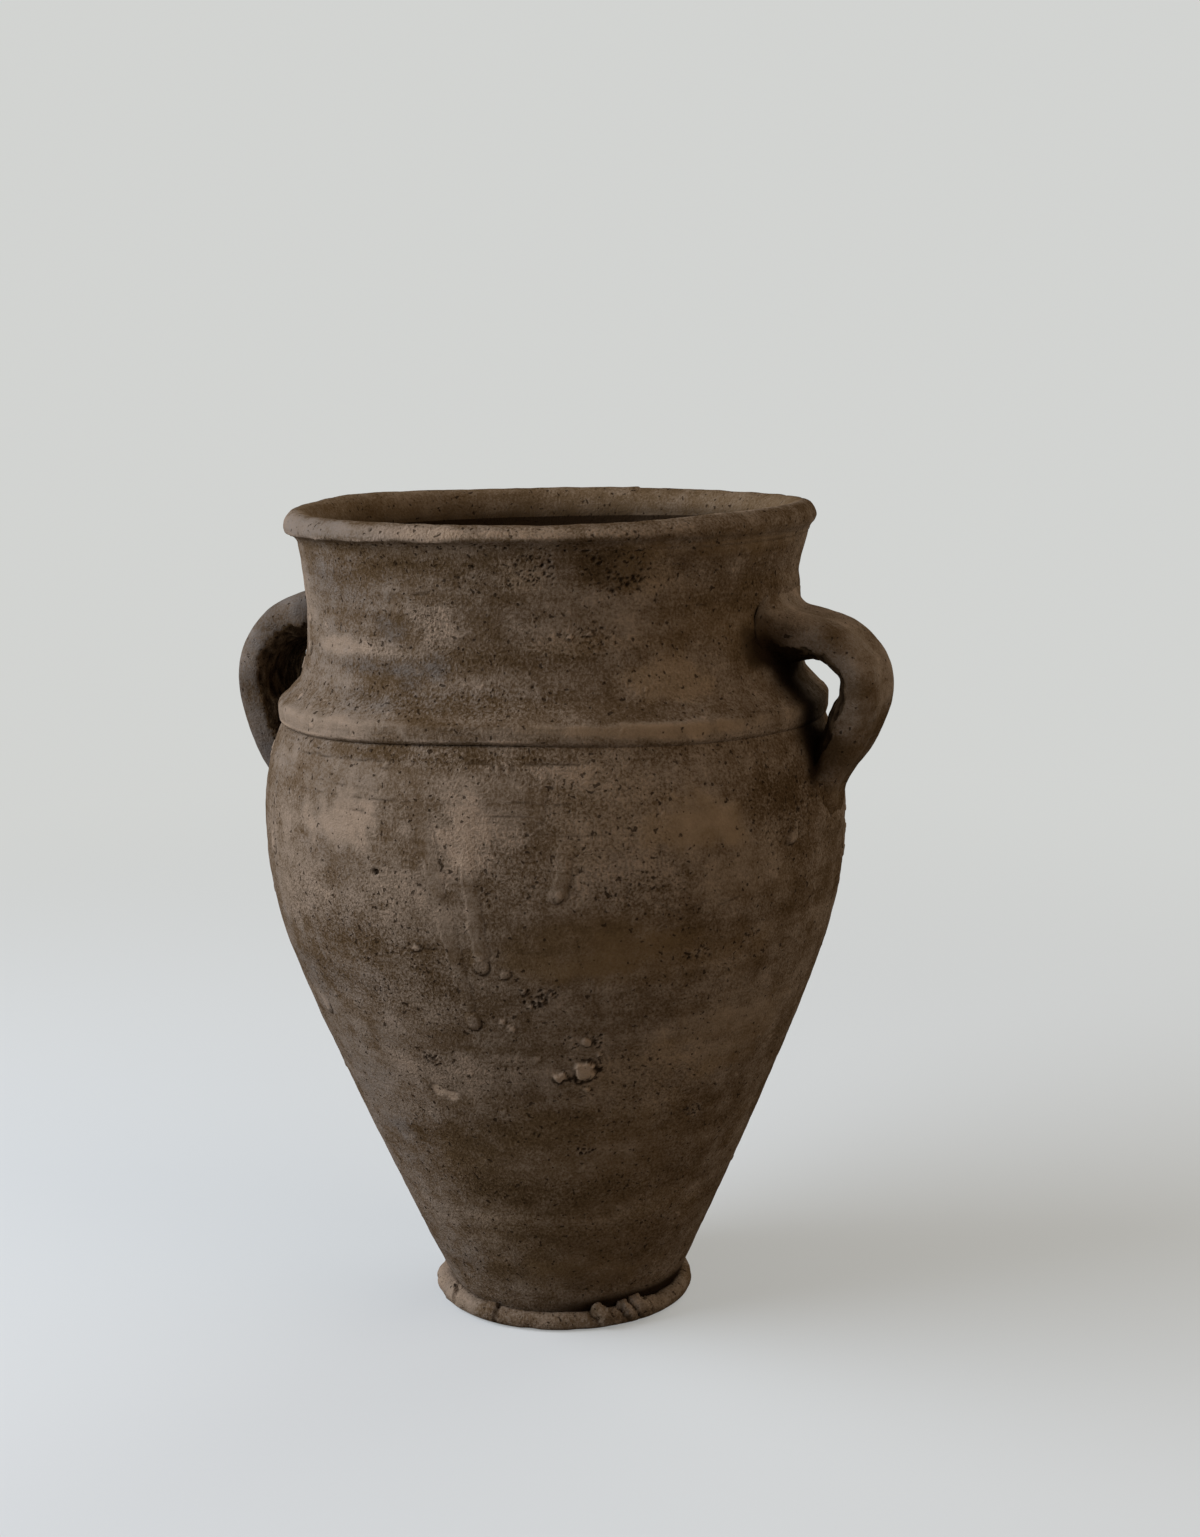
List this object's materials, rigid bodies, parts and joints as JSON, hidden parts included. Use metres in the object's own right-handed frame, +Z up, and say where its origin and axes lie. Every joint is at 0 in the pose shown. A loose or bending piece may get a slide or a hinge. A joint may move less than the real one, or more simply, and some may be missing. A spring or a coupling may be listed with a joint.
{
  "type": "olive jar",
  "caption": "Two-handled earthenware storage jar with a wide rolled rim, ridged shoulder, full belly and a small ringed foot.",
  "frame": {"origin": "middle of the foot, on the surface that the jar stands on", "axes": "+Z up along the jar's axis, the two handles on +X and -X"},
  "size_m": [0.3344, 0.286, 0.4],
  "materials": {
    "earthenware": "matte unglazed low-fired clay, weathered brown with ochre and grey mottling",
    "base_clay": "matte unglazed clay, darker and rougher where the jar has stood"
  },
  "bodies": {
    "root": {"floor": "base_clay", "foot_ring": "base_clay", "lower_body": "earthenware", "upper_body": "earthenware", "neck": "earthenware", "rim": "earthenware", "left_handle": "earthenware", "right_handle": "earthenware", "left_upper_root": "earthenware", "right_upper_root": "earthenware", "left_lower_root": "earthenware", "right_lower_root": "earthenware"}
  },
  "joints": []
}
